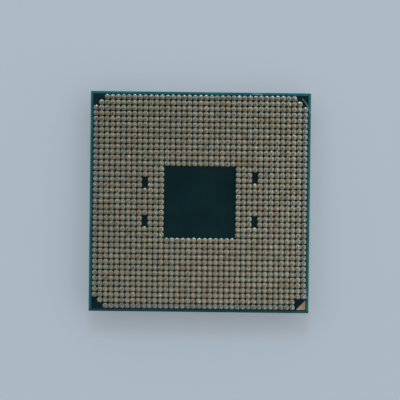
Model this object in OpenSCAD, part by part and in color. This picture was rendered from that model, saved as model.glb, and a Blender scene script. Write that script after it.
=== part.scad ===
// Desktop processor in a pin-grid package, lying on its heat spreader with the contact pins up.
// Millimetres, +Z up. The origin is the centre of the heat spreader's cooler face.

/* [Pin grid] */
// Distance between neighbouring contact pins
pin_pitch = 1; // [0.95:0.01:1.3]
// Grid places along each edge of the board
pins_across = 39; // [37:2:45]
// Grid places left bare along each side of the middle field
void_places = 13; // [9:2:15]
// Grid places left bare along each side of a cut corner
corner_places = 2; // [1:1:3]
// Column of the key gaps, counted from the nearer edge
key_column = 10; // [8:1:12]
// First row of a key gap, counted from the nearer edge
key_row = 16; // [14:1:17]
// Rows left bare in a key gap
key_rows = 2; // [1:1:3]
// Rows by which the odd key gap lies nearer its edge
key_shift = 1; // [0:1:3]

/* [Contact pins] */
// Diameter of a pin's shaft
pin_d = 0.3; // [0.2:0.01:0.4]
// Length of a pin from the board to its tip
pin_len = 2; // [1:0.05:3]
// Chamfer around a pin's tip
pin_chamfer = 0.06; // [0.02:0.01:0.09]
// Diameter of the nail head that a pin stands on
head_d = 0.66; // [0.5:0.01:0.7]
// Thickness of the nail head
head_t = 0.06; // [0.04:0.01:0.3]
// Width of the solder around the nail head, on the board
solder_w = 0.14; // [0.06:0.01:0.14]
// Thickness of the solder over the edge of the nail head
solder_over = 0.02; // [0.01:0.01:0.12]

/* [Board] */
// Board left outside the outermost pin rows, to their centres
board_margin = 1; // [0.8:0.05:3]
// Thickness of the board
board_t = 1.2; // [0.6:0.05:2]
// Legs of the plated corner marks
mark_leg = 1.7; // [0.8:0.05:2]
// Gap from a corner mark to the board's edges
mark_inset = 0.6; // [0.2:0.05:0.8]
// Thickness of the plating of a corner mark
mark_t = 0.03; // [0.02:0.01:0.06]

/* [Heat spreader] */
// Gap from the edge of the flange to the edge of the board
lid_inset = 1.2; // [0.5:0.1:3]
// Cut across each corner of the flange
lid_cut = 3.4; // [3:0.1:5]
// Thickness of the flange
flange_t = 1.5; // [1.2:0.05:2.5]
// Width of the flange around the raised face
flange_w = 1.9; // [1:0.1:3]
// Height of the raised face over the flange
crown_h = 1.7; // [0.8:0.05:2.5]
// Corner radius of the raised face
crown_r = 2.2; // [1:0.1:4]
// Rounding around the cooler face
crown_round = 0.35; // [0.1:0.05:0.6]
// Width of the foot around the hollow over the die
foot_w = 3.8; // [3.2:0.1:4.6]
// Corner radius of the hollow over the die
hollow_r = 1.5; // [0.5:0.1:3]

/* [Seal] */
// Thickness of the adhesive under the foot
seal_t = 0.15; // [0.08:0.01:0.3]
// Width of the adhesive bead
seal_w = 2.3; // [1:0.1:2.6]
// Gap from the adhesive to the edge of the flange
seal_inset = 0.5; // [0.2:0.1:0.6]
// Length of bead left out so that the hollow can breathe
vent_gap = 2.4; // [1:0.1:6]

/* [Die] */
// Length of the die along X
die_l = 22; // [10:0.5:24]
// Width of the die along Y
die_w = 9.8; // [6:0.2:14]
// Thickness of the die
die_t = 0.78; // [0.5:0.01:0.9]
// Gap between the die and the board, bridged by its solder bumps
bump_gap = 0.08; // [0.05:0.01:0.12]
// Thickness of the thermal solder between the die and the lid
tim_t = 0.25; // [0.1:0.01:0.4]
// Width of the underfill's skirt around the die
skirt_w = 0.8; // [0.3:0.05:1.2]
// Height of the skirt up the sides of the die
skirt_h = 0.45; // [0.2:0.05:0.5]

/* [Capacitors] */
// Capacitors along each long side of the die
caps_per_side = 8; // [4:1:10]
// Distance between neighbouring capacitors
cap_pitch = 2.4; // [1.2:0.1:2.6]
// Gap from the underfill to the capacitors
cap_gap = 0.9; // [0.5:0.05:2]
// Length of a capacitor
cap_l = 1; // [0.8:0.05:1.6]
// Width of a capacitor
cap_w = 0.5; // [0.3:0.05:0.8]
// Height of a capacitor
cap_h = 0.5; // [0.3:0.05:0.55]
// Length of a capacitor's metal ends
cap_end = 0.25; // [0.1:0.05:0.3]
// Step from a metal end down to the ceramic
cap_step = 0.02; // [0.01:0.01:0.05]
// Length of the solder in front of a metal end
cap_solder_l = 0.2; // [0.1:0.05:0.3]
// Height of the solder up a metal end
cap_solder_h = 0.3; // [0.1:0.05:0.3]

/* [Hidden] */
$fn = 48;
// Steps in a rounded profile
arc_steps = 4;
// Reach of a cut past the solid that it cuts
over = 0.1;
// Shortest cut left on the corners of a drawn-in square
least_cut = 0.1;
// Least gap between the solder of neighbouring pins
least_gap = 0.04;

pin_r = pin_d / 2;
head_r = head_d / 2;
dome_r = min(head_r + solder_w, (pin_pitch - least_gap) / 2);
// The solder is a quarter ellipse that clears the nail head's edge by solder_over
dome_h = (head_t + solder_over) / sqrt(1 - pow((head_r - pin_r) / (dome_r - pin_r), 2));

mid_place = (pins_across + 1) / 2;
board_side = (pins_across - 1) * pin_pitch + 2 * board_margin;
lid_side = board_side - 2 * lid_inset;
crown_side = lid_side - 2 * flange_w;
hollow_side = lid_side - 2 * foot_w;

// Levels from the cooler face upwards
foot_z = crown_h + flange_t;
board_z = foot_z + seal_t;
pin_z = board_z + board_t;
die_top_z = board_z - bump_gap;
die_z = die_top_z - die_t;
hollow_z = die_z - tim_t;
cap_y = die_w / 2 + skirt_w + cap_gap + cap_l / 2;

BANKS = ["rear", "front", "left", "right"];
CAPS = [1 : 2 * caps_per_side];
PLACES = [
    for (row = [1 : pins_across])
        for (column = [1 : pins_across])
            if (holds_pin(column, row)) [column, row]
];

// Columns count from -X and rows from +Y, starting at 1
function place_x(column) = (column - mid_place) * pin_pitch;
function place_y(row) = (mid_place - row) * pin_pitch;

// 1 on the outermost row or column, 2 on the next
function from_edge(place) = min(place, pins_across + 1 - place);
function near_middle(place) = abs(place - mid_place) < void_places / 2;
function in_void(column, row) = near_middle(column) && near_middle(row);

// Three corners lose a triangle of places, and the pin-one corner a square
function at_pin_one(column, row) = column > mid_place && row > mid_place;
function in_corner(column, row) =
    at_pin_one(column, row)
        ? max(from_edge(column), from_edge(row)) <= corner_places
        : from_edge(column) + from_edge(row) <= corner_places + 1;

// The rear right key gap lies nearer its edge than the other three
function key_start(column, row) = key_row - (column > mid_place && row < mid_place ? key_shift : 0);
function in_key(column, row) =
    from_edge(column) == key_column
    && from_edge(row) >= key_start(column, row)
    && from_edge(row) < key_start(column, row) + key_rows;

function holds_pin(column, row) =
    !in_void(column, row) && !in_corner(column, row) && !in_key(column, row);

// The outermost pins beside each cut corner, which carry the part when it is turned over
function is_corner_pin(place) =
    from_edge(place[0]) + from_edge(place[1]) == corner_places + 2;

function bank_of(place) =
    near_middle(place[1])
        ? (place[0] < mid_place ? "left" : "right")
        : (place[1] < mid_place ? "rear" : "front");

// Length of a corner's cut once the cut square is drawn in by inset on every side
function drawn_in(cut, inset) = max(cut - inset * (2 - sqrt(2)), least_cut);

// Square with its corners cut at 45 degrees
module cut_square(side, cut) {
    edge = side / 2;
    near = edge - cut;
    polygon([
        [edge, near], [near, edge], [-near, edge], [-edge, near],
        [-edge, -near], [-near, -edge], [near, -edge], [edge, -near]
    ]);
}

// Upright profile of a slab's side, rounded where it meets z = 0, from the axis out to reach
function slab_side(reach, height, rounding) = concat(
    [[0, 0]],
    [for (step = [0 : arc_steps])
        let (turn = 90 * step / arc_steps)
            [reach - rounding * (1 - sin(turn)), rounding * (1 - cos(turn))]],
    [[reach, height], [0, height]]
);

// Square slab on z = 0 with upright corners of radius corner and a rounded lower edge
module slab(side, corner, height, rounding) {
    straight = side - 2 * corner;
    section = slab_side(side / 2, height, rounding);
    for (turn = [0 : 90 : 270])
        rotate([0, 0, turn]) {
            rotate([90, 0, 0])
                linear_extrude(straight, center = true)
                    polygon(section);
            translate([straight / 2, straight / 2, 0])
                rotate_extrude()
                    polygon(slab_side(corner, height, rounding));
        }
}

// Square prism with upright rounded corners, centred on the axis
module round_prism(side, corner, height) {
    straight = side - 2 * corner;
    linear_extrude(height) {
        square([side, straight], center = true);
        square([straight, side], center = true);
        for (x = [-1, 1], y = [-1, 1])
            translate([x * straight / 2, y * straight / 2])
                circle(corner);
    }
}

// Places its children at each grid place in the list
module at_places(places) {
    for (place = places)
        translate([place_x(place[0]), place_y(place[1]), pin_z])
            children();
}

module contact_pin() {
    rotate_extrude()
        polygon([
            [0, 0], [head_r, 0], [head_r, head_t], [pin_r, head_t],
            [pin_r, pin_len - pin_chamfer], [pin_r - pin_chamfer, pin_len], [0, pin_len]
        ]);
}

module solder_dome() {
    rotate_extrude()
        polygon(concat(
            [for (step = [0 : arc_steps])
                let (turn = 90 * step / arc_steps)
                    [pin_r + (dome_r - pin_r) * cos(turn), dome_h * sin(turn)]],
            [[pin_r, head_t], [head_r, head_t], [head_r, 0]]
        ));
}

// Right-angled triangle in the pin-one corner of the board
module corner_mark() {
    corner = board_side / 2 - mark_inset;
    linear_extrude(mark_t)
        polygon([[corner, -corner], [corner - mark_leg, -corner], [corner, mark_leg - corner]]);
}

// Trapezoid across the die: wide at z = 0 where it meets the board, narrow where the skirt ends
module skirt_section(size) {
    foot = size / 2 + skirt_w;
    polygon([[-foot, 0], [foot, 0], [size / 2, -skirt_h - bump_gap], [-size / 2, -skirt_h - bump_gap]]);
}

module substrate() {
    color([0.06, 0.18, 0.2])
        translate([-board_side / 2, -board_side / 2, board_z])
            cube([board_side, board_side, board_t]);
}

module pin_one_mark() {
    color("goldenrod")
        translate([0, 0, pin_z])
            corner_mark();
}

module lid_side_mark() {
    color("goldenrod")
        translate([0, 0, board_z - mark_t])
            corner_mark();
}

module heat_spreader() {
    color("silver")
        difference() {
            union() {
                slab(crown_side, crown_r, crown_h, crown_round);
                translate([0, 0, crown_h])
                    linear_extrude(flange_t)
                        cut_square(lid_side, lid_cut);
            }
            translate([0, 0, hollow_z])
                round_prism(hollow_side, hollow_r, foot_z - hollow_z + over);
        }
}

module lid_seal() {
    inner = seal_inset + seal_w;
    color([0.09, 0.09, 0.09])
        translate([0, 0, foot_z])
            linear_extrude(seal_t)
                difference() {
                    cut_square(lid_side - 2 * seal_inset, drawn_in(lid_cut, seal_inset));
                    cut_square(lid_side - 2 * inner, drawn_in(lid_cut, inner));
                    translate([-vent_gap / 2, 0])
                        square([vent_gap, lid_side]);
                }
}

module thermal_solder() {
    color("lightgray")
        translate([-die_l / 2, -die_w / 2, hollow_z])
            cube([die_l, die_w, tim_t]);
}

module die() {
    color([0.3, 0.32, 0.36])
        translate([-die_l / 2, -die_w / 2, die_z])
            cube([die_l, die_w, die_t]);
}

module underfill() {
    color([0.13, 0.12, 0.11])
        difference() {
            translate([0, 0, board_z])
                intersection() {
                    rotate([90, 0, 0])
                        linear_extrude(die_w + 2 * skirt_w, center = true)
                            skirt_section(die_l);
                    rotate([90, 0, 90])
                        linear_extrude(die_l + 2 * skirt_w, center = true)
                            skirt_section(die_w);
                }
            translate([-die_l / 2, -die_w / 2, die_z])
                cube([die_l, die_w, die_t]);
        }
}

// Puts its children at a capacitor's place, with the board's face above them at z = 0
module at_capacitor(number) {
    along = (number - 1) % caps_per_side - (caps_per_side - 1) / 2;
    side = number > caps_per_side ? 1 : -1;
    translate([along * cap_pitch, side * cap_y, board_z])
        children();
}

// Chip capacitor hanging from the board: a ceramic block between two metal ends
module capacitor(number) {
    body_w = cap_w - 2 * cap_step;
    body_h = cap_h - 2 * cap_step;
    color("tan")
        at_capacitor(number) {
            translate([-body_w / 2, -cap_l / 2, -cap_h + cap_step])
                cube([body_w, cap_l, body_h]);
            for (y = [-cap_l / 2, cap_l / 2 - cap_end])
                translate([-cap_w / 2, y, -cap_h])
                    cube([cap_w, cap_end, cap_h]);
        }
}

module capacitor_solder() {
    color("lightgray")
        for (number = CAPS, turn = [0, 180])
            at_capacitor(number)
                rotate([90, 0, 90 + turn])
                    translate([cap_l / 2, 0, 0])
                        linear_extrude(cap_w, center = true)
                            polygon([[0, 0], [cap_solder_l, 0], [0, -cap_solder_h]]);
}

module corner_pins() {
    color("goldenrod")
        at_places([for (place = PLACES) if (is_corner_pin(place)) place])
            contact_pin();
}

module pin_bank(bank) {
    color("goldenrod")
        at_places([for (place = PLACES) if (bank_of(place) == bank && !is_corner_pin(place)) place])
            contact_pin();
}

module solder_bank(bank) {
    color("palegoldenrod")
        at_places([for (place = PLACES) if (bank_of(place) == bank) place])
            solder_dome();
}

substrate();
pin_one_mark();
lid_side_mark();
heat_spreader();
lid_seal();
thermal_solder();
die();
underfill();
capacitor_solder();
corner_pins();
for (bank = BANKS) {
    pin_bank(bank);
    solder_bank(bank);
}
for (number = CAPS)
    capacitor(number);
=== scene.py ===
"""Looks of a desktop processor that lies on its heat spreader with the contact pins up. Metres, +Z up."""

import math

import bpy
import numpy as np
from bpy.props import FloatProperty, FloatVectorProperty, IntProperty, PointerProperty
from bpy.types import NodeSocket, Operator, Panel, PropertyGroup
from mathutils import Matrix, Vector


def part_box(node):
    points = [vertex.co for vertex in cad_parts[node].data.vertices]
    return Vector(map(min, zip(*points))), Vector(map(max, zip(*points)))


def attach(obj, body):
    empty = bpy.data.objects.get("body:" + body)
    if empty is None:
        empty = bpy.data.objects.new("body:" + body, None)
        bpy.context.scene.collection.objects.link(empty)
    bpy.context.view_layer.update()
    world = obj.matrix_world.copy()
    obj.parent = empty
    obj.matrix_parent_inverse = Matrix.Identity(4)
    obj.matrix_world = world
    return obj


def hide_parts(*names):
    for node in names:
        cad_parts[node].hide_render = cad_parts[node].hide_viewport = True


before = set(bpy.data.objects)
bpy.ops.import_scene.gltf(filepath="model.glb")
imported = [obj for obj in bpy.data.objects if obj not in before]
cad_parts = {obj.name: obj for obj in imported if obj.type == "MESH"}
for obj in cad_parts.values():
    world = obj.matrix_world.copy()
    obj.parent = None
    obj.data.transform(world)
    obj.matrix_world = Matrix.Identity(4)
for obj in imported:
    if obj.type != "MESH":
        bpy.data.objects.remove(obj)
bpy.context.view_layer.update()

bl_info = {
    "name": "Desktop processor",
    "version": (1, 0, 0),
    "blender": (4, 5, 0),
    "location": "View3D > Sidebar > Processor",
    "description": "Dresses the solids of a pin-grid processor and sets its stage",
    "category": "Object",
}

MM = 0.001

BANKS = ("rear", "front", "left", "right")
BOARD_LOW, BOARD_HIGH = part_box("substrate")
BOARD_MIDDLE = (BOARD_LOW.z + BOARD_HIGH.z) / 2
LID_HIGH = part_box("heat_spreader")[1]
HOLLOW_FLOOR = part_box("thermal_solder")[0].z
PIN_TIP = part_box("pins_rear")[1].z
SOLDER_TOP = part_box("solder_rear")[1].z
# One of the capacitors on the +Y side of the die
CAPACITOR_LOW, CAPACITOR_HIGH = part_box("capacitor_16")


def length(name, description, default):
    """A size in metres for the sidebar."""
    return FloatProperty(
        name=name, description=description, default=default, min=0.0, precision=6, unit="LENGTH"
    )


def colour(name, description, default):
    """A linear colour for the sidebar."""
    return FloatVectorProperty(
        name=name, description=description, default=default, size=3, min=0.0, max=1.0, subtype="COLOR"
    )


def place(name, description, default):
    """A point in metres for the sidebar."""
    return FloatVectorProperty(
        name=name, description=description, default=default, size=3, precision=6, subtype="TRANSLATION"
    )


def angle(name, description, degrees):
    """An angle for the sidebar."""
    return FloatProperty(name=name, description=description, default=math.radians(degrees), unit="ROTATION")


def fraction(name, description, default):
    """A share from 0 to 1 for the sidebar."""
    return FloatProperty(
        name=name, description=description, default=default, min=0.0, max=1.0, subtype="FACTOR"
    )


def power(name, description, default):
    """A lamp's power in watts for the sidebar."""
    return FloatProperty(name=name, description=description, default=default, min=0.0, unit="POWER")


class BoardSettings(PropertyGroup):
    """Sizes and colours of the laminate board."""

    edge_round: length("Edge rounding", "Rounding along the board's edges", 0.04 * MM)
    corner_round: length("Corner rounding", "Radius of the board's upright corners", 0.12 * MM)
    rim: length("Rim", "Width of the rim that the copper planes leave free", 0.42 * MM)
    field: colour("Field", "Resist over the bare copper planes", (0.0015, 0.016, 0.0205))
    field_green: colour("Field, green patches", "Resist where the copper is thinner", (0.003, 0.022, 0.025))
    between: colour("Between pins", "Resist between neighbouring solder joints", (0.0, 0.02, 0.025))
    rim_green: colour("Rim", "Resist over bare laminate", (0.012, 0.16, 0.15))
    rim_blue: colour("Rim, blue patches", "Resist over bare laminate, bluer stretches", (0.01, 0.11, 0.135))
    core: colour("Core", "Sawn glass laminate in the middle of the board's sides", (0.2, 0.2, 0.09))
    layers: colour("Layers", "Sawn build-up layers above and below the core", (0.06, 0.09, 0.05))
    scuff: colour("Scuffs", "Resist that is scratched or rubbed pale", (0.3, 0.4, 0.43))
    smear: colour("Smear", "Flux left on the resist", (0.5, 0.36, 0.52))


class PinSettings(PropertyGroup):
    """Sizes and colours of the contact pins."""

    pitch: length("Pitch", "Distance between neighbouring pins", 1.0 * MM)
    radius: length("Radius", "Radius of a pin's shaft", 0.15 * MM)
    tip_round: length("Tip rounding", "Rounding around a pin's tip", 0.075 * MM)
    lean: angle("Lean", "Usual angle by which handling has bent a pin", 0.5)
    slant: angle("Slant", "Usual angle by which the face of a pin's tip is off level", 4)
    gold: colour("Gold", "Gold plate", (0.625, 0.445, 0.235))
    gold_red: colour("Gold, red", "Gold plate on the reddest pins", (0.51, 0.27, 0.11))
    gold_pale: colour("Gold, pale", "Gold plate on the palest pins", (0.7, 0.61, 0.4))
    variety: fraction("Variety", "Usual difference in tone between pins", 0.3)
    seed: IntProperty(name="Seed", description="Seed of the differences between pins", default=7, min=0)


class SolderSettings(PropertyGroup):
    """Sizes and colours of the solder around the pins' feet."""

    radius: length("Radius", "Radius of a solder joint on the board", 0.47 * MM)
    bulge: length("Bulge", "Height of a joint where its collar starts", 0.075 * MM)
    collar: length("Collar", "Width of the collar that climbs a pin's shaft", 0.06 * MM)
    uneven: fraction("Unevenness", "Usual share by which a joint is higher on one side", 0.18)
    pale: colour("Pale", "Solder on the palest joints", (0.4, 0.435, 0.385))
    plain: colour("Plain", "Solder on most joints", (0.34, 0.362, 0.315))
    gilt: colour("Gilt", "Solder on the joints that took up most gold", (0.3, 0.29, 0.22))
    thin: colour("Thin", "Solder that lies thin over a pin's gold head", (0.43, 0.36, 0.24))
    # Painted shade: a darker solder colour for the joints along the board's edges
    outer: colour("Outermost", "Duller solder along the board's edges", (0.25, 0.285, 0.275))
    variety: fraction("Variety", "Usual difference in tone between joints", 0.2)
    seed: IntProperty(name="Seed", description="Seed of the differences between joints", default=11, min=0)


class MarkSettings(PropertyGroup):
    """Colours of the plated corner marks."""

    gold: colour("Gold", "Gold plate", (0.9, 0.55, 0.22))
    film: colour("Film", "Gold plate under a grey film", (0.62, 0.5, 0.4))


class LidSettings(PropertyGroup):
    """Sizes and colours of the heat spreader and the bead that holds it."""

    crown_half: length("Raised face", "Half the side of the raised face", 16.9 * MM)
    crown_height: length("Raised height", "Height of the raised face over the flange", 1.7 * MM)
    crown_corner: length("Raised corner", "Corner radius of the raised face", 2.2 * MM)
    crown_round: length("Raised rounding", "Rounding around the cooler face", 0.35 * MM)
    flange_cut: length("Flange cut", "Cut across each corner of the flange", 3.4 * MM)
    foot: length("Foot", "Width of the foot around the hollow", 3.8 * MM)
    hollow_corner: length("Hollow corner", "Corner radius of the hollow", 1.5 * MM)
    edge_round: length("Edge rounding", "Rounding of the flange's edges and inner corner", 0.15 * MM)
    nickel: colour("Nickel", "Satin nickel plate", (0.56, 0.55, 0.52))
    nickel_dull: colour("Nickel, dull", "Nickel plate dulled by handling", (0.48, 0.47, 0.44))
    seal: colour("Seal", "Black silicone adhesive", (0.012, 0.012, 0.012))


class InsideSettings(PropertyGroup):
    """Colours of what the heat spreader covers."""

    silicon: colour("Silicon", "Back of the die", (0.16, 0.17, 0.2))
    resin: colour("Resin", "Underfill", (0.03, 0.026, 0.024))
    soft_solder: colour("Soft solder", "Solder on the die and at the capacitors", (0.6, 0.61, 0.63))
    ceramic: colour("Ceramic", "Body of a capacitor", (0.32, 0.2, 0.11))
    tinned: colour("Tinned end", "Metal ends of a capacitor", (0.62, 0.62, 0.6))
    tinned_length: length("Tinned length", "Length of a capacitor's metal ends", 0.25 * MM)


class StageSettings(PropertyGroup):
    """Camera, floor and lamps."""

    camera: place("Camera", "Where the camera stands", (-2.86 * MM, 14.29 * MM, 549.78 * MM))
    aim: place("Aim", "Where the camera's axis meets the pin face", (0.04 * MM, 0.4 * MM, BOARD_HIGH.z))
    roll: angle("Roll", "Turn of the camera about its axis", 0.68)
    lens: FloatProperty(name="Lens", description="Focal length", default=270.0, min=1.0, unit="CAMERA")
    floor: colour("Floor", "Pale floor under the lamps", (0.32, 0.355, 0.39))
    floor_glow: colour("Floor glow", "Paleness that only camera and mirrors see", (0.18, 0.205, 0.23))
    near: colour("Near side", "Soft light from around the near side", (0.12, 0.12, 0.12))
    far: colour("Far side", "Soft light from around the far side", (0.77, 0.82, 0.84))
    zenith: colour("Zenith", "Dim light from overhead", (0.09, 0.09, 0.09))
    key: power("Key lamp", "Power of the wide lamp at the far right", 0.75)
    fill: power("Fill lamp", "Power of the wide lamp at the far left", 0.65)
    near_right: power("Near right lamp", "Power of the wide lamp at the near right", 0.5)
    near_left: power("Near left lamp", "Power of the wide lamp at the near left", 0.32)
    strip: power("Strip lamp", "Power of the small lamp at the far side", 1.1)
    cool: colour("Strip light", "Colour of the small lamp", (0.66, 0.87, 1.0))


# Meshes

CORNER_STEPS = 8
EDGE_STEPS = 3
LID_EDGE_STEPS = 5
JOINT_RINGS = 5
PIN_SIDES = 12
SHARP_ANGLE = math.radians(38)
TURN = np.arange(PIN_SIDES) * 2 * math.pi / PIN_SIDES
COMPASS = np.stack((np.cos(TURN), np.sin(TURN)), axis=-1)


def ring_skin(name, rings):
    """A mesh from stacks of rings, given as an array of stack, ring, point around, and XYZ. Neighbouring
    rings of a stack are joined by quads, and its first and last rings are each closed by one flat face.
    Rings run anticlockwise and climb the outside of the solid, so that every face points outwards."""
    stacks, rows, around, _ = rings.shape
    index = np.arange(stacks * rows * around).reshape(stacks, rows, around)
    after = np.roll(index, -1, axis=2)
    quads = np.stack((index[:, :-1], after[:, :-1], after[:, 1:], index[:, 1:]), axis=-1).reshape(-1, 4)
    caps = np.concatenate((index[:, 0, ::-1], index[:, -1]))
    mesh = bpy.data.meshes.new(name)
    mesh.from_pydata(rings.reshape(-1, 3), [], quads.tolist() + caps.tolist())
    mesh.shade_smooth()
    mesh.set_sharp_from_angle(angle=SHARP_ANGLE)
    return mesh


def square_rings(half, corner, roundness, height):
    """Level square rings with finished corners, one for each entry of the arrays. A corner runs from
    (half, half - corner) to (half - corner, half), as the straight line between them at roundness 0, as the
    quarter circle of radius corner at roundness 1. The other corners are quarter turns of that one."""
    values = (half, corner, roundness, height)
    half, corner, roundness, height = (np.asarray(value, float)[:, None] for value in values)
    along = np.linspace(0.0, 1.0, CORNER_STEPS + 1)
    turn = along * math.pi / 2
    x = half - corner * ((1 - roundness) * along + roundness * (1 - np.cos(turn)))
    y = half - corner * ((1 - roundness) * (1 - along) + roundness * (1 - np.sin(turn)))
    level = np.broadcast_to(height, x.shape)
    quarters = [np.stack((a, b, level), axis=-1) for a, b in ((x, y), (-y, x), (-x, -y), (y, -x))]
    return np.concatenate(quarters, axis=1)[None]


def turned_rings(places, radius, height, lean=0.0):
    """Round rings about an upright axis at every place. A point is the place, plus its radius in the
    direction of its angle, plus the lean times its height over the first ring. Radius and height broadcast
    to an array of place, ring and point around."""
    radius, height = np.broadcast_arrays(radius, height)
    climb = (height - height[:, :1])[..., None]
    drift = np.broadcast_to(lean, places.shape)[:, None, None, :] * climb
    flat = places[:, None, None, :] + drift + radius[..., None] * COMPASS
    return np.concatenate((flat, height[..., None]), axis=-1)


def toward(direction):
    """How far each point around a ring lies in each place's own direction, from the direction's length to
    minus that, as an array of place, ring and point around."""
    return (direction @ COMPASS.T)[:, None, :]


def node_places(node, pitch):
    """Grid places that a node stands on: its vertices' X and Y, rounded to whole pitches, each pair once."""
    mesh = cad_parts[node].data
    points = np.empty(3 * len(mesh.vertices), np.float32)
    mesh.vertices.foreach_get("co", points)
    return np.unique(np.rint(points.reshape(-1, 3)[:, :2] / pitch), axis=0) * pitch


def set_values(mesh, name, values, rings):
    """Gives every point a value that its finish reads. The values broadcast to the points of the rings."""
    values = np.broadcast_to(values, rings.shape[:3]).astype(np.float32)
    mesh.attributes.new(name, "FLOAT", "POINT").data.foreach_set("value", values.ravel())


def add_piece(mesh, finish, slot, *nodes):
    """Puts a mesh into the scene in place of the nodes that it stands for."""
    piece = bpy.data.objects.new(mesh.name, mesh)
    bpy.context.scene.collection.objects.link(piece)
    mesh.materials.append(finish)
    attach(piece, "root")
    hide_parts(*nodes)


def dress_node(node, finish):
    """Gives a node that keeps its own shape its finish."""
    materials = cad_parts[node].data.materials
    materials.clear()
    materials.append(finish)


# Nodes of the finishes

# Share of a scratch's width in which it is at its strongest
STROKE_CORE = 0.2
# Half the width of the fade along a box's sides
BOX_FADE = 0.1 * MM


def new_finish(name):
    """A new material, its node tree, and the shader in it."""
    finish = bpy.data.materials.new(name)
    finish.use_nodes = True
    return finish, finish.node_tree, finish.node_tree.nodes["Principled BSDF"]


def feed(tree, node, inputs):
    """Links each input that is given as a socket, and sets the others."""
    for name, value in inputs.items():
        if isinstance(value, NodeSocket):
            tree.links.new(value, node.inputs[name])
        else:
            node.inputs[name].default_value = value


def add_node(tree, kind, inputs=None, **settings):
    """A new shader node with its settings and inputs."""
    node = tree.nodes.new("ShaderNode" + kind)
    for name, value in settings.items():
        setattr(node, name, value)
    feed(tree, node, inputs or {})
    return node


def sum_up(tree, operation, *values):
    """Result of a Math node on numbers or sockets."""
    return add_node(tree, "Math", dict(enumerate(values)), operation=operation).outputs[0]


def vector_sum(tree, operation, *values):
    """Result of a Vector Math node on vectors or sockets: a number for a length or a dot product."""
    node = add_node(tree, "VectorMath", dict(enumerate(values)), operation=operation)
    return node.outputs["Value" if operation in ("LENGTH", "DOT_PRODUCT") else "Vector"]


def ease(tree, value, low, high, start=0.0, end=1.0):
    """Start where the value is low, end where it is high, and a smooth step between."""
    inputs = {"Value": value, "From Min": low, "From Max": high, "To Min": start, "To Max": end}
    return add_node(tree, "MapRange", inputs, interpolation_type="SMOOTHSTEP").outputs[0]


def blend(tree, share, first, second):
    """Colour between the first and the second. A colour is a socket or three numbers."""
    node = add_node(tree, "Mix", {0: share}, data_type="RGBA")
    for socket, value in ((node.inputs[6], first), (node.inputs[7], second)):
        if isinstance(value, NodeSocket):
            tree.links.new(value, socket)
        else:
            socket.default_value = (*value, 1.0)
    return node.outputs[2]


def object_point(tree, stretch=None):
    """Place on the piece, in metres, or stretched to another scale along each axis."""
    point = add_node(tree, "TexCoord").outputs["Object"]
    return vector_sum(tree, "MULTIPLY", point, stretch) if stretch else point


def grain(tree, point, size, detail=3.0):
    """Smooth noise from 0 to 1, with lumps of about the given size."""
    inputs = {"Vector": point, "Scale": 1.0 / size, "Detail": detail, "Roughness": 0.55}
    return add_node(tree, "TexNoise", inputs).outputs[0]


def relief(tree, height, depth):
    """Surface normal over bumps of the given depth."""
    return add_node(tree, "Bump", {"Height": height, "Distance": depth}).outputs[0]


def attribute(tree, name):
    """Value that the mesh's points carry under the given name."""
    return add_node(tree, "Attribute", attribute_name=name).outputs["Fac"]


def tone_ramp(tree, low, middle, high):
    """Colour from low at tone 0 over middle at one half to high at 1, by the tone that the mesh carries."""
    ramp = add_node(tree, "ValToRGB", {0: attribute(tree, "tone")})
    stops = ramp.color_ramp.elements
    stops.new(0.5)
    for stop, value in zip(stops, (low, middle, high)):
        stop.color = (*value, 1.0)
    return ramp.outputs[0]


def stroke(tree, flat_point, start, end, width):
    """Mask of one scratch, in millimetres: 1 on the straight line from start to end, fading to 0 at width
    from it. The nearest point of the line is start plus the clamped share of the run that lies under the
    point."""
    start, end, width = (np.multiply(size, MM) for size in (start, end, width))
    run = end - start
    from_start = vector_sum(tree, "SUBTRACT", flat_point, (*start, 0.0))
    share = vector_sum(tree, "DOT_PRODUCT", from_start, (*(run / (run @ run)), 0.0))
    share = add_node(tree, "Clamp", {"Value": share}).outputs[0]
    along = add_node(tree, "VectorMath", {0: (*run, 0.0), "Scale": share}, operation="SCALE").outputs[0]
    away = vector_sum(tree, "LENGTH", vector_sum(tree, "SUBTRACT", from_start, along))
    return ease(tree, away, STROKE_CORE * width, width, 1.0, 0.0)


def box_mask(tree, flat_point, middle, half):
    """Mask of an upright box, in millimetres: 1 inside it, fading to 0 just outside its sides."""
    off = vector_sum(tree, "SUBTRACT", flat_point, (middle[0] * MM, middle[1] * MM, 0.0))
    over = vector_sum(tree, "SUBTRACT", vector_sum(tree, "ABSOLUTE", off), (half[0] * MM, half[1] * MM, 0.0))
    axes = add_node(tree, "SeparateXYZ", {0: over}).outputs
    outside = sum_up(tree, "MAXIMUM", axes["X"], axes["Y"])
    return ease(tree, outside, -BOX_FADE, BOX_FADE, 1.0, 0.0)


# Finishes

# Places on the pin face that hold no pins: middle and half sides in millimetres
BARE = (
    ((0.0, 0.0), (6.5, 6.5)),
    ((-10.0, 3.5), (0.5, 1.0)),
    ((-10.0, -3.5), (0.5, 1.0)),
    ((10.0, 4.5), (0.5, 1.0)),
    ((10.0, -3.5), (0.5, 1.0)),
    ((18.6, -18.6), (1.1, 1.1)),
)
# Bare too, fading in from the first distance to the second: the cut corners, by the sum of the distances
# from the two middle lines, and the strip outside the outermost joints, by the larger of the two
PAST_CORNERS = (36.0 * MM, 36.3 * MM)
PAST_JOINTS = (19.3 * MM, 19.45 * MM)

# Half the width of the fade into the rim
RIM_FADE = 0.06 * MM
# Stretch of Y over which the near side's rim is darkened towards the field's colour as painted shade, and
# the share of that shade at the edge
NEAR_RIM_SHADE_SPAN = (-19.6 * MM, -19.4 * MM)
NEAR_RIM_SHADE_SHARE = 0.45
# Half the thickness of the laminate's core, and the fade into the layers
CORE_HALF = 0.4 * MM
CORE_FADE = 0.03 * MM

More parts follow.
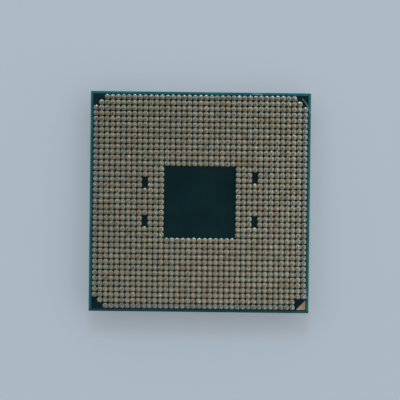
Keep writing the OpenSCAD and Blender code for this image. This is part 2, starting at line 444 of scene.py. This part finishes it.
# Scratches, rubbed places and a smear on the pin face: start, end and width in millimetres, and how much of
# the resist's colour they cover
SCUFFS = (
    ((18.44, 18.98), (19.2, 18.1), 0.1),
    ((19.2, 18.1), (19.94, 16.41), 0.12),
    ((17.45, 18.7), (17.92, 17.64), 0.1),
    ((9.3, 19.86), (11.1, 19.66), 0.2),
    ((19.62, -17.1), (20.05, -17.1), 0.14),
)
SCUFF_SHARE = 0.7
SMEAR = ((19.5, -15.6), (19.5, -17.3), 0.14)
SMEAR_SHARE = 0.8

# Distance from a middle line past which a joint is one of the outermost, and those joints' share of the
# darker colour that paints shade on them
EDGE_SHADE_REACH = 18.5 * MM
EDGE_SHADE_SHARE = 0.8
# Painted shade on the pins and joints, deepening towards the far left corner: its colour, the way it
# deepens, how far, and how much it covers at most
SHADE_TONE = (0.075, 0.06, 0.035)
SHADE_WAY = (-0.82, 0.57, 0.0)
SHADE_REACH = 25 * MM
SHADE_MOST = 0.22

# Brightness of a grained finish in its hollows
HOLLOW_SHADE = 0.8


def bare_mask(tree, flat_point, off_x, off_y, reach):
    """Mask of the resist that isn't between solder joints: the largest of the masks of the bare places."""
    mask = ease(tree, sum_up(tree, "ADD", off_x, off_y), *PAST_CORNERS)
    mask = sum_up(tree, "MAXIMUM", mask, ease(tree, reach, *PAST_JOINTS))
    for middle, half in BARE:
        mask = sum_up(tree, "MAXIMUM", mask, box_mask(tree, flat_point, middle, half))
    return mask


def wear_masks(tree, point, flat_point, height):
    """Masks of the scuffs and of the smear, both ragged and on the pin face only."""
    on_pin_face = sum_up(tree, "GREATER_THAN", height, BOARD_MIDDLE)
    ragged = ease(tree, grain(tree, point, 0.15 * MM), 0.3, 0.6)
    worn = sum_up(tree, "MULTIPLY", on_pin_face, ragged)
    scuffs = 0.0
    for scuff in SCUFFS:
        scuffs = sum_up(tree, "MAXIMUM", scuffs, stroke(tree, flat_point, *scuff))
    smear = stroke(tree, flat_point, *SMEAR)
    return sum_up(tree, "MULTIPLY", scuffs, worn), sum_up(tree, "MULTIPLY", smear, worn)


def sawn_laminate(tree, board, height, fibres):
    """Colour of the sawn sides: the core in the middle, and layers past a ragged line above and below it."""
    off_middle = sum_up(tree, "ABSOLUTE", sum_up(tree, "SUBTRACT", height, BOARD_MIDDLE))
    ragged = sum_up(tree, "MULTIPLY_ADD", fibres, 0.05 * MM, off_middle)
    off_core = ease(tree, ragged, CORE_HALF, CORE_HALF + CORE_FADE)
    sawn = blend(tree, off_core, board.core, board.layers)
    return blend(tree, sum_up(tree, "MULTIPLY", fibres, 0.5), sawn, board.field_green)


def resist_finish(board):
    """Glossy resist, dark over the copper planes and lighter on the rim, with painted shade on the near
    side's rim, scuffs, and sawn sides.
    """
    finish, tree, shader = new_finish("board_resist")
    point = object_point(tree)
    flat_point = vector_sum(tree, "MULTIPLY", point, (1.0, 1.0, 0.0))
    x, y, z = add_node(tree, "SeparateXYZ", {0: point}).outputs
    off_x = sum_up(tree, "ABSOLUTE", x)
    off_y = sum_up(tree, "ABSOLUTE", y)
    reach = sum_up(tree, "MAXIMUM", off_x, off_y)

    patches = grain(tree, point, 5 * MM)
    streaks = grain(tree, object_point(tree, (1.0, 0.03, 1.0)), 0.4 * MM)
    mottle = ease(tree, sum_up(tree, "MULTIPLY_ADD", streaks, 0.3, patches), 0.4, 0.9)
    field = blend(tree, mottle, board.field, board.field_green)
    face = blend(tree, bare_mask(tree, flat_point, off_x, off_y, reach), board.between, field)
    rim = blend(tree, ease(tree, patches, 0.35, 0.65), board.rim_green, board.rim_blue)
    # Painted shade: the rim darkens towards the field's colour along the near edge
    rim = blend(tree, ease(tree, y, *NEAR_RIM_SHADE_SPAN, NEAR_RIM_SHADE_SHARE, 0.0), rim, board.field)
    rim_start = BOARD_HIGH.x - board.rim
    face = blend(tree, ease(tree, reach, rim_start - RIM_FADE, rim_start + RIM_FADE), face, rim)

    scuffs, smear = wear_masks(tree, point, flat_point, z)
    face = blend(tree, sum_up(tree, "MULTIPLY", scuffs, SCUFF_SHARE), face, board.scuff)
    face = blend(tree, sum_up(tree, "MULTIPLY", smear, SMEAR_SHARE), face, board.smear)

    normal = add_node(tree, "NewGeometry").outputs["Normal"]
    level = sum_up(tree, "ABSOLUTE", vector_sum(tree, "DOT_PRODUCT", normal, (0.0, 0.0, 1.0)))
    on_side = ease(tree, level, 0.2, 0.6, 1.0, 0.0)
    fibres = grain(tree, object_point(tree, (1.0, 1.0, 8.0)), 0.25 * MM)
    lumps = grain(tree, point, 0.3 * MM)
    dull = ease(tree, sum_up(tree, "MAXIMUM", on_side, scuffs), 0.0, 1.0, 0.24, 0.62)
    inputs = {
        "Base Color": blend(tree, on_side, face, sawn_laminate(tree, board, z, fibres)),
        "Roughness": sum_up(tree, "MULTIPLY_ADD", patches, 0.12, dull),
        "Specular IOR Level": 0.18,
        "Normal": relief(tree, sum_up(tree, "ADD", lumps, fibres), 0.004 * MM),
    }
    feed(tree, shader, inputs)
    return finish


def shade_toward_far_left(tree, point, base):
    """The base under painted shade that deepens towards the far left corner."""
    along = vector_sum(tree, "DOT_PRODUCT", point, SHADE_WAY)
    return blend(tree, ease(tree, along, -SHADE_REACH, SHADE_REACH, 0.0, SHADE_MOST), base, SHADE_TONE)


def gold_finish(pins):
    """Gold plate on the pins under painted shade that deepens towards the far left corner, redder or paler
    from pin to pin, smoother at the tips.
    """
    finish, tree, shader = new_finish("pin_gold")
    point = object_point(tree)
    height = add_node(tree, "SeparateXYZ", {0: point}).outputs["Z"]
    rubbed = ease(tree, height, PIN_TIP - 0.3 * MM, PIN_TIP, 0.24, 0.16)
    drawn = grain(tree, object_point(tree, (1.0, 1.0, 0.1)), 0.05 * MM)
    inputs = {
        # Painted shade deepening towards the far left corner, over the pins' tones
        "Base Color": shade_toward_far_left(tree, point, tone_ramp(tree, pins.gold_red, pins.gold, pins.gold_pale)),
        "Metallic": 1.0,
        "Roughness": sum_up(tree, "MULTIPLY_ADD", drawn, 0.06, rubbed),
        "Normal": relief(tree, drawn, 0.001 * MM),
    }
    feed(tree, shader, inputs)
    return finish


def mark_finish(mark):
    """Flat gold plate of the corner marks, filmed over in patches and finely scratched."""
    finish, tree, shader = new_finish("mark_gold")
    point = object_point(tree)
    film = ease(tree, grain(tree, point, 0.9 * MM), 0.45, 0.62)
    scratches = grain(tree, object_point(tree, (1.0, 0.08, 1.0)), 0.03 * MM)
    inputs = {
        "Base Color": blend(tree, film, mark.gold, mark.film),
        "Metallic": 1.0,
        "Roughness": sum_up(tree, "MULTIPLY_ADD", film, 0.12, 0.3),
        "Normal": relief(tree, scratches, 0.002 * MM),
    }
    feed(tree, shader, inputs)
    return finish


def joint_finish(solder):
    """Satin solder with gold in it under painted shade that deepens towards the far left corner, grey or
    gilt from joint to joint, with a fine frosted skin. It is golden where it lies thin on a pin's head, and
    darker on the outermost joints, which is painted shade too."""
    finish, tree, shader = new_finish("pin_solder")
    point = object_point(tree)
    frost = grain(tree, point, 0.06 * MM)
    thin = ease(tree, attribute(tree, "thin"), 0.35, 0.75)
    base = blend(tree, thin, tone_ramp(tree, solder.gilt, solder.plain, solder.pale), solder.thin)
    off = add_node(tree, "SeparateXYZ", {0: vector_sum(tree, "ABSOLUTE", point)}).outputs
    reach = sum_up(tree, "MAXIMUM", off["X"], off["Y"])
    # Painted shade on the outermost joints
    shaded_edge_joints = sum_up(tree, "GREATER_THAN", reach, EDGE_SHADE_REACH)
    base = blend(tree, sum_up(tree, "MULTIPLY", shaded_edge_joints, EDGE_SHADE_SHARE), base, solder.outer)
    inputs = {
        # Painted shade deepening towards the far left corner, over the joints' colours
        "Base Color": shade_toward_far_left(tree, point, base),
        "Metallic": 1.0,
        "Roughness": ease(tree, frost, 0.3, 0.7, 0.13, 0.2),
        "Normal": relief(tree, frost, 0.003 * MM),
    }
    feed(tree, shader, inputs)
    return finish


def nickel_finish(lid):
    """Satin nickel plate: fine blasted grain, dulled in soft patches, with faint straight rub marks."""
    finish, tree, shader = new_finish("nickel_plate")
    point = object_point(tree)
    patches = grain(tree, point, 6 * MM)
    rubs = grain(tree, object_point(tree, (1.0, 0.02, 1.0)), 0.12 * MM)
    blasted = grain(tree, point, 0.08 * MM)
    dull = ease(tree, sum_up(tree, "MULTIPLY_ADD", rubs, 0.35, patches), 0.5, 0.9)
    inputs = {
        "Base Color": blend(tree, dull, lid.nickel, lid.nickel_dull),
        "Metallic": 1.0,
        "Roughness": sum_up(tree, "MULTIPLY_ADD", dull, 0.12, 0.27),
        "Normal": relief(tree, sum_up(tree, "MULTIPLY_ADD", rubs, 0.5, blasted), 0.003 * MM),
    }
    feed(tree, shader, inputs)
    return finish


def grained_finish(name, base, lump, depth, metallic=0.0, *, roughness):
    """One colour, darker in its hollows, with grain of the given lump size and depth."""
    finish, tree, shader = new_finish(name)
    lumps = grain(tree, object_point(tree), lump)
    inputs = {
        "Base Color": blend(tree, lumps, [HOLLOW_SHADE * c for c in base], base),
        "Metallic": metallic,
        "Roughness": sum_up(tree, "MULTIPLY_ADD", lumps, 0.15, roughness - 0.075),
        "Normal": relief(tree, lumps, depth),
    }
    feed(tree, shader, inputs)
    return finish


def capacitor_finish(inside):
    """Fired ceramic between tinned metal ends, told apart by the distance from the capacitor's middle."""
    finish, tree, shader = new_finish("capacitor_ceramic")
    point = object_point(tree)
    across = sum_up(tree, "ABSOLUTE", add_node(tree, "SeparateXYZ", {0: point}).outputs["Y"])
    middle = (CAPACITOR_LOW.y + CAPACITOR_HIGH.y) / 2
    off_middle = sum_up(tree, "ABSOLUTE", sum_up(tree, "SUBTRACT", across, middle))
    tinned = sum_up(tree, "GREATER_THAN", off_middle, CAPACITOR_HIGH.y - middle - inside.tinned_length)
    lumps = grain(tree, point, 0.05 * MM)
    ceramic = blend(tree, lumps, [HOLLOW_SHADE * c for c in inside.ceramic], inside.ceramic)
    inputs = {
        "Base Color": blend(tree, tinned, ceramic, inside.tinned),
        "Metallic": tinned,
        "Roughness": sum_up(tree, "MULTIPLY_ADD", lumps, 0.1, 0.35),
        "Normal": relief(tree, lumps, 0.003 * MM),
    }
    feed(tree, shader, inputs)
    return finish


# Pieces

# Usual unevenness of a joint's width as a share of its height's, and the most that its height differs by
WIDTH_SHARE = 0.1
MOST_UNEVEN = 0.5


def rounded(steps):
    """Sine and cosine over a quarter turn, for a rounded edge in the given number of steps."""
    turn = np.linspace(0.0, math.pi / 2, steps + 1)
    return np.sin(turn), np.cos(turn)


def drawn_tones(draws, usual, places):
    """A tone from 0 to 1 for each place, drawn about one half with the usual difference and clipped."""
    return np.clip(draws.normal(0.5, usual, len(places)), 0.0, 1.0)[:, None, None]


class PROCESSOR_OT_board(Operator):
    """Makes the laminate board."""

    bl_idname = "processor.board"
    bl_label = "Board"

    def execute(self, context):
        board = context.scene.processor_board
        edge = board.edge_round
        sine, cosine = rounded(EDGE_STEPS)
        # From the lower face out over its edge, up the side and in over the upper edge, with a ring on each
        # flat face beside the rounding so that the faces stay flat
        inset = np.concatenate(([2 * edge], edge * (1 - sine), edge * (1 - cosine), [2 * edge]))
        low = BOARD_LOW.z + edge * (1 - cosine)
        high = BOARD_HIGH.z - edge * (1 - sine)
        height = np.concatenate(([BOARD_LOW.z], low, high, [BOARD_HIGH.z]))
        rings = square_rings(BOARD_HIGH.x - inset, board.corner_round - inset, np.ones(len(inset)), height)
        add_piece(ring_skin("board", rings), resist_finish(board), "board_resist", "substrate")
        return {"FINISHED"}


class PROCESSOR_OT_pins(Operator):
    """Makes the contact pins, each a little bent, with its tip's face a little off level."""

    bl_idname = "processor.pins"
    bl_label = "Contact pins"

    def execute(self, context):
        pins = context.scene.processor_pins
        finish = gold_finish(pins)
        draws = np.random.default_rng(pins.seed)
        sine, cosine = rounded(EDGE_STEPS)
        # A shaft from inside the solder, and a tip rounded by a quarter circle. The tip's rings rise towards
        # the slant's direction, and drop so that no point ends over the level tip
        radius = np.concatenate(([pins.radius], pins.radius - pins.tip_round * (1 - cosine)))[:, None]
        foot = (BOARD_HIGH.z + SOLDER_TOP) / 2
        height = np.concatenate(([foot], PIN_TIP - pins.tip_round * (1 - sine)))[:, None]
        on_tip = height > foot
        for node in ("corner_pins", *(f"pins_{bank}" for bank in BANKS)):
            places = node_places(node, pins.pitch)
            lean = draws.normal(0.0, math.tan(pins.lean), (len(places), 2))
            tone = drawn_tones(draws, pins.variety, places)
            slant = draws.normal(0.0, math.tan(pins.slant), (len(places), 2))
            drop = pins.radius * np.linalg.norm(slant, axis=1)[:, None, None]
            rings = turned_rings(places, radius, height + on_tip * (radius * toward(slant) - drop), lean)
            mesh = ring_skin("contact_" + node, rings)
            set_values(mesh, "tone", tone, rings)
            add_piece(mesh, finish, "gold_plate", node)
        return {"FINISHED"}


class PROCESSOR_OT_joints(Operator):
    """Makes the solder joints around the pins' feet, each a little wider and higher on one side."""

    bl_idname = "processor.joints"
    bl_label = "Solder joints"

    def execute(self, context):
        solder = context.scene.processor_solder
        pins = context.scene.processor_pins
        finish = joint_finish(solder)
        draws = np.random.default_rng(solder.seed)
        # A parabola from the board to the collar, level at the collar, then the collar up the shaft
        out = np.linspace(1.0, 0.0, JOINT_RINGS)
        collar = pins.radius + solder.collar
        top = SOLDER_TOP - BOARD_HIGH.z
        radius = np.concatenate((collar + (solder.radius - collar) * out, [pins.radius]))[:, None]
        height = np.concatenate((solder.bulge * (1 - out**2), [top]))[:, None]
        thin = (solder.radius - radius) / (solder.radius - pins.radius)
        for bank in BANKS:
            node = "solder_" + bank
            places = node_places(node, pins.pitch)
            wider = draws.normal(0.0, solder.uneven * WIDTH_SHARE, (len(places), 2))
            higher = draws.normal(0.0, solder.uneven, (len(places), 2))
            tone = drawn_tones(draws, solder.variety, places)
            width = pins.radius + (radius - pins.radius) * (1 + toward(wider))
            rise = height * (1 + toward(np.clip(higher, -MOST_UNEVEN, MOST_UNEVEN)))
            rings = turned_rings(places, width, BOARD_HIGH.z + np.minimum(rise, top))
            mesh = ring_skin(f"solder_joints_{bank}", rings)
            set_values(mesh, "tone", tone, rings)
            set_values(mesh, "thin", thin, rings)
            add_piece(mesh, finish, "pin_solder", node)
        return {"FINISHED"}


class PROCESSOR_OT_marks(Operator):
    """Finishes the gold corner marks."""

    bl_idname = "processor.marks"
    bl_label = "Corner marks"

    def execute(self, context):
        finish = mark_finish(context.scene.processor_marks)
        for node in ("pin_one_mark", "lid_side_mark"):
            dress_node(node, finish)
        return {"FINISHED"}


class PROCESSOR_OT_lid(Operator):
    """Makes the heat spreader and finishes the bead that holds it."""

    bl_idname = "processor.lid"
    bl_label = "Heat spreader"

    def execute(self, context):
        lid = context.scene.processor_lid
        edge = lid.edge_round
        crown, flange, hollow = lid.crown_half, LID_HIGH.x, LID_HIGH.x - lid.foot
        step, foot = lid.crown_height, LID_HIGH.z
        sine, cosine = rounded(LID_EDGE_STEPS)
        # From the cooler face out over its rounding, up the raised side, out through a fillet to the flange,
        # over the flange's edges and in along the foot, then down into the hollow and in along its floor.
        # A cut corner's length shrinks by this share of an inset
        shrink = 2 - math.sqrt(2)
        crown_in = np.concatenate(([2 * lid.crown_round], lid.crown_round * (1 - sine)))
        crown_z = np.concatenate(([0.0], lid.crown_round * (1 - cosine)))
        fillet_out = edge * (1 - cosine)
        fillet_z = step - edge * (1 - sine)
        flange_in = np.concatenate(([2 * edge], edge * (1 - sine), edge * (1 - cosine), [2 * edge]))
        flange_z = np.concatenate(([step], step + edge * (1 - cosine), foot - edge * (1 - sine), [foot]))
        hollow_out = np.array([2 * edge, 0.0, 0.0, -edge])
        hollow_z = np.array([foot, foot, HOLLOW_FLOOR, HOLLOW_FLOOR])
        half = (crown - crown_in, crown + fillet_out, flange - flange_in, hollow + hollow_out)
        corner = (
            lid.crown_corner - crown_in,
            lid.crown_corner + fillet_out,
            lid.flange_cut - shrink * flange_in,
            lid.hollow_corner + hollow_out,
        )
        roundness = [np.full(len(part), value) for part, value in zip(half, (1.0, 1.0, 0.0, 1.0))]
        height = (crown_z, fillet_z, flange_z, hollow_z)
        rings = square_rings(*(np.concatenate(parts) for parts in (half, corner, roundness, height)))
        add_piece(ring_skin("lid", rings), nickel_finish(lid), "nickel_plate", "heat_spreader")
        seal = grained_finish("seal_adhesive", lid.seal, 0.2 * MM, 0.01 * MM, roughness=0.55)
        dress_node("lid_seal", seal)
        return {"FINISHED"}


class PROCESSOR_OT_inside(Operator):
    """Finishes what the heat spreader covers."""

    bl_idname = "processor.inside"
    bl_label = "Die and capacitors"

    def execute(self, context):
        inside = context.scene.processor_inside
        soft = grained_finish("soft_solder", inside.soft_solder, 0.3 * MM, 0.01 * MM, 1.0, roughness=0.45)
        dress_node("thermal_solder", soft)
        dress_node("capacitor_solder", soft)
        silicon = grained_finish("silicon", inside.silicon, 0.5 * MM, 0.001 * MM, 0.6, roughness=0.2)
        dress_node("die", silicon)
        resin = grained_finish("underfill_resin", inside.resin, 0.1 * MM, 0.005 * MM, roughness=0.6)
        dress_node("underfill", resin)
        ceramic = capacitor_finish(inside)
        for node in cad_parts:
            if node.startswith("capacitor_") and node != "capacitor_solder":
                dress_node(node, ceramic)
        return {"FINISHED"}


# Stage

# Half the side of the floor, and the gap between it and the part
FLOOR_REACH = 20.0
FLOOR_GAP = 0.02 * MM
# Distance of the lamps, the sides of the wide ones and the small one, and where they stand, in degrees: the
# angle round from +Y towards +X, and the angle over the floor
LAMP_REACH = 0.8
WIDE_SIDE = 0.6
SMALL_SIDE = 0.15
WIDE_LAMPS = {"key": (50, 54), "fill": (-48, 54), "near_right": (135, 54), "near_left": (-135, 54)}
STRIP_LAMP = (0, 47)
# Level direction to the brighter side of the surroundings, and from where to where along it they brighten
FAR_SIDE = (0.45, 0.89, 0.0)
FAR_SPAN = (-0.8, 0.2)
# Heights between which the surroundings dim to the zenith, as the sine of the angle over the floor
ZENITH_SPAN = (0.78, 0.94)


def camera_matrix(camera, aim, roll):
    """Camera that looks from one point to another with +Y up in its picture, rolled about its own axis."""
    forward = (Vector(aim) - Vector(camera)).normalized()
    right = forward.cross(Vector((0.0, 1.0, 0.0))).normalized()
    turned = Matrix((right, right.cross(forward), -forward)).transposed().to_4x4()
    return Matrix.Translation(camera) @ turned @ Matrix.Rotation(roll, 4, "Z")


def soft_lamp(name, azimuth, elevation, watts, side, light=(1.0, 1.0, 1.0)):
    """Square lamp that faces the part, from an angle round from +Y towards +X and one over the floor."""
    turn, rise = math.radians(azimuth), math.radians(elevation)
    level = math.cos(rise)
    direction = Vector((math.sin(turn) * level, math.cos(turn) * level, math.sin(rise)))
    data = bpy.data.lights.new(name, "AREA")
    data.energy = watts
    data.color = light
    data.size = side
    lamp = bpy.data.objects.new(name, data)
    lamp.location = direction * LAMP_REACH
    lamp.rotation_euler = direction.to_track_quat("Z", "Y").to_euler()
    lamp.visible_camera = False
    bpy.context.scene.collection.objects.link(lamp)


def set_world(stage):
    """Soft light around the horizon, brighter on the far side, that dims towards the zenith."""
    world = bpy.data.worlds.new("studio")
    world.use_nodes = True
    tree = world.node_tree
    direction = add_node(tree, "TexCoord").outputs["Generated"]
    height = add_node(tree, "SeparateXYZ", {0: direction}).outputs["Z"]
    beyond = vector_sum(tree, "DOT_PRODUCT", direction, FAR_SIDE)
    around = blend(tree, ease(tree, beyond, *FAR_SPAN), stage.near, stage.far)
    light = blend(tree, ease(tree, height, *ZENITH_SPAN), around, stage.zenith)
    feed(tree, tree.nodes["Background"], {"Color": light, "Strength": 1.0})
    bpy.context.scene.world = world


def floor_finish(stage):
    """Plain matt floor that keeps the part's shadow. Its glow reaches only the camera, mirrors and glass, so
    it lights nothing."""
    finish, tree, shader = new_finish("floor")
    path = add_node(tree, "LightPath").outputs
    seen = sum_up(tree, "MAXIMUM", path["Is Camera Ray"], path["Is Glossy Ray"])
    inputs = {
        "Base Color": (*stage.floor, 1.0),
        "Roughness": 0.9,
        "Specular IOR Level": 0.1,
        "Emission Color": (*stage.floor_glow, 1.0),
        "Emission Strength": sum_up(tree, "MAXIMUM", seen, path["Is Transmission Ray"]),
    }
    feed(tree, shader, inputs)
    return finish


class PROCESSOR_OT_stage(Operator):
    """Sets the floor, the lamps and the camera."""

    bl_idname = "processor.stage"
    bl_label = "Stage"

    def execute(self, context):
        scene = context.scene
        stage = scene.processor_stage
        scene.view_settings.view_transform = "Standard"

        r = FLOOR_REACH
        mesh = bpy.data.meshes.new("floor")
        corners = [(x, y, -FLOOR_GAP) for x, y in ((-r, -r), (r, -r), (r, r), (-r, r))]
        mesh.from_pydata(corners, [], [(0, 1, 2, 3)])
        mesh.materials.append(floor_finish(stage))
        floor = bpy.data.objects.new("floor", mesh)
        scene.collection.objects.link(floor)

        set_world(stage)
        for name, angles in WIDE_LAMPS.items():
            soft_lamp(name, *angles, getattr(stage, name), WIDE_SIDE)
        soft_lamp("strip", *STRIP_LAMP, stage.strip, SMALL_SIDE, stage.cool)

        data = bpy.data.cameras.new("camera")
        data.lens = stage.lens
        data.clip_start = MM
        camera = bpy.data.objects.new("camera", data)
        camera.matrix_world = camera_matrix(stage.camera, stage.aim, stage.roll)
        scene.collection.objects.link(camera)
        scene.camera = camera
        return {"FINISHED"}


OPERATORS = (
    PROCESSOR_OT_board,
    PROCESSOR_OT_pins,
    PROCESSOR_OT_joints,
    PROCESSOR_OT_marks,
    PROCESSOR_OT_lid,
    PROCESSOR_OT_inside,
    PROCESSOR_OT_stage,
)
SETTINGS = {
    "processor_board": BoardSettings,
    "processor_pins": PinSettings,
    "processor_solder": SolderSettings,
    "processor_marks": MarkSettings,
    "processor_lid": LidSettings,
    "processor_inside": InsideSettings,
    "processor_stage": StageSettings,
}


class PROCESSOR_PT_parts(Panel):
    """Lists the processor's pieces and their sizes and colours."""

    bl_idname = "PROCESSOR_PT_parts"
    bl_label = "Processor"
    bl_space_type = "VIEW_3D"
    bl_region_type = "UI"
    bl_category = "Processor"

    def draw(self, context):
        for operator in OPERATORS:
            self.layout.operator(operator.bl_idname)
        for group, settings in SETTINGS.items():
            box = self.layout.box()
            box.label(text=settings.__doc__)
            for name in settings.__annotations__:
                box.prop(getattr(context.scene, group), name)


CLASSES = (*SETTINGS.values(), *OPERATORS, PROCESSOR_PT_parts)


def register():
    """Makes the settings, the operators and the panel known."""
    for known in CLASSES:
        bpy.utils.register_class(known)
    for group, settings in SETTINGS.items():
        setattr(bpy.types.Scene, group, PointerProperty(type=settings))


def unregister():
    """Forgets them again."""
    for group in SETTINGS:
        delattr(bpy.types.Scene, group)
    for known in reversed(CLASSES):
        bpy.utils.unregister_class(known)


def main():
    """Makes every piece and the stage."""
    register()
    bpy.ops.processor.board()
    bpy.ops.processor.pins()
    bpy.ops.processor.joints()
    bpy.ops.processor.marks()
    bpy.ops.processor.lid()
    bpy.ops.processor.inside()
    bpy.ops.processor.stage()
    bpy.context.view_layer.update()


if __name__ == "__main__":
    main()
